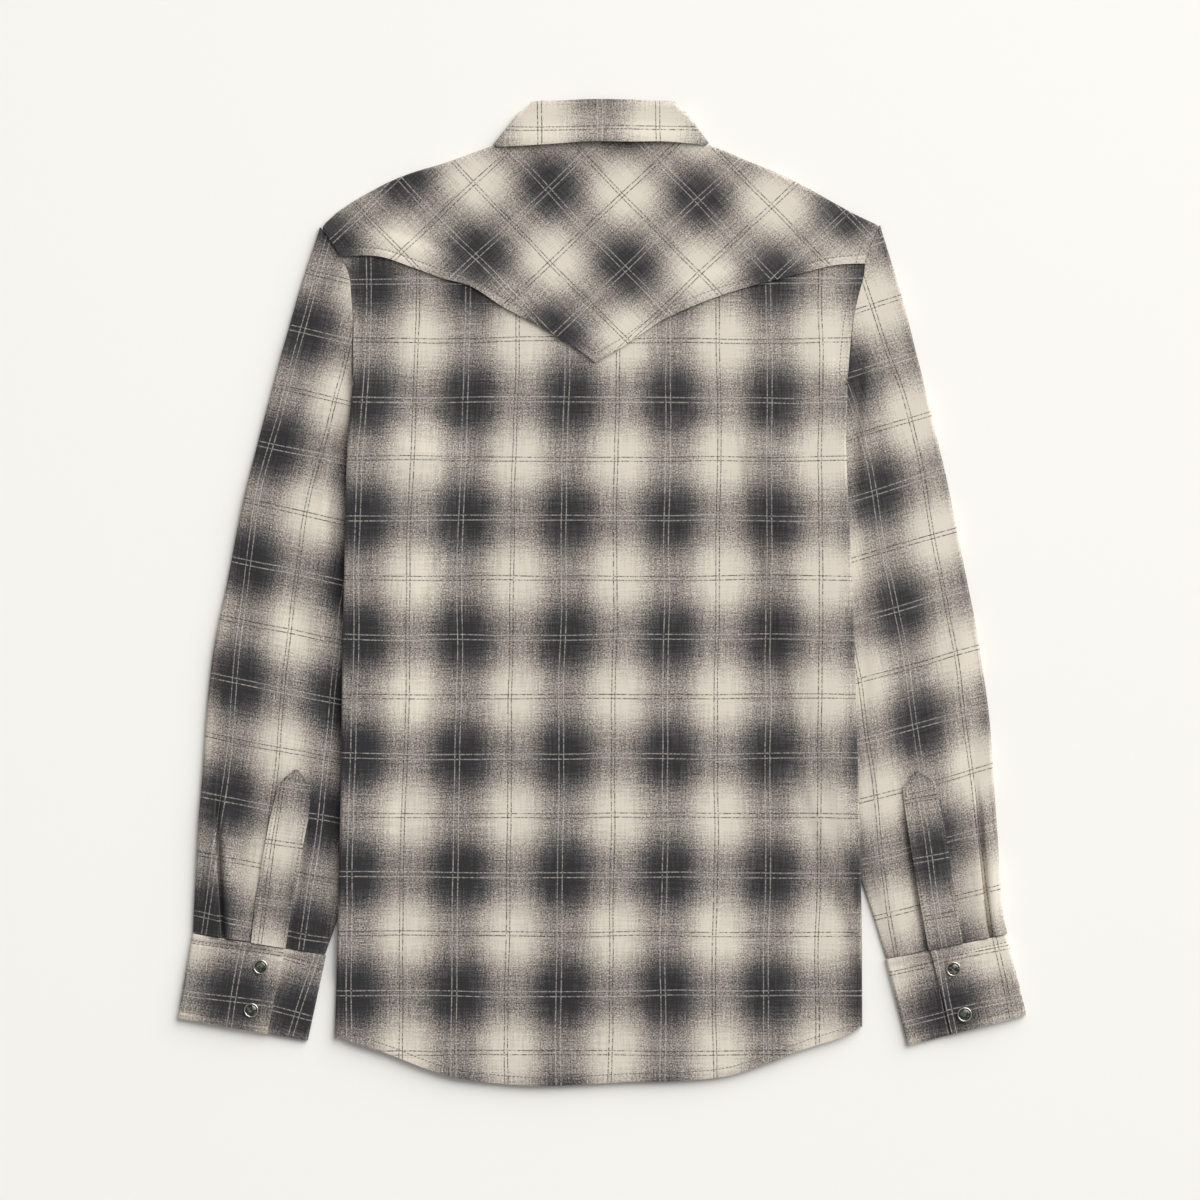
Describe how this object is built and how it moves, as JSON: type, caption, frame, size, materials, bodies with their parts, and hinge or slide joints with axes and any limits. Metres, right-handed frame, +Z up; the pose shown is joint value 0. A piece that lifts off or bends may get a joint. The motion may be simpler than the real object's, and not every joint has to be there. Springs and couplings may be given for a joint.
{
  "type": "western snap shirt",
  "caption": "Long-sleeved western snap shirt in ombre plaid flannel, laid flat face down with its pointed back yoke up.",
  "frame": {"origin": "middle of the shirt's outline, on the surface that it lies on", "axes": "+Y from the hem to the collar, +X to the right seen from above, +Z up out of the back"},
  "size_m": [0.7038, 0.8174, 0.011],
  "materials": {
    "flannel": "brushed cotton flannel, charcoal and cream ombre plaid, matte with a short nap",
    "snap_cap": "smoky pearl, polished",
    "snap_rim": "bright plated metal"
  },
  "bodies": {
    "root": {"back_panel": "flannel", "back_yoke": "flannel", "front_left": "flannel", "front_right": "flannel", "collar_leaf": "flannel", "collar_stand": "flannel", "sleeve_left": "flannel", "sleeve_right": "flannel", "placket_left": "flannel", "placket_right": "flannel", "cuff_left": "flannel", "cuff_right": "flannel", "snap_cap_left_1": "snap_cap", "snap_cap_left_2": "snap_cap", "snap_cap_right_1": "snap_cap", "snap_cap_right_2": "snap_cap", "snap_rim_left_1": "snap_rim", "snap_rim_left_2": "snap_rim", "snap_rim_right_1": "snap_rim", "snap_rim_right_2": "snap_rim", "snap_front_1": "snap_cap", "snap_front_2": "snap_cap", "snap_front_3": "snap_cap", "snap_front_4": "snap_cap", "snap_front_5": "snap_cap", "snap_front_6": "snap_cap", "snap_front_7": "snap_cap"}
  },
  "joints": []
}
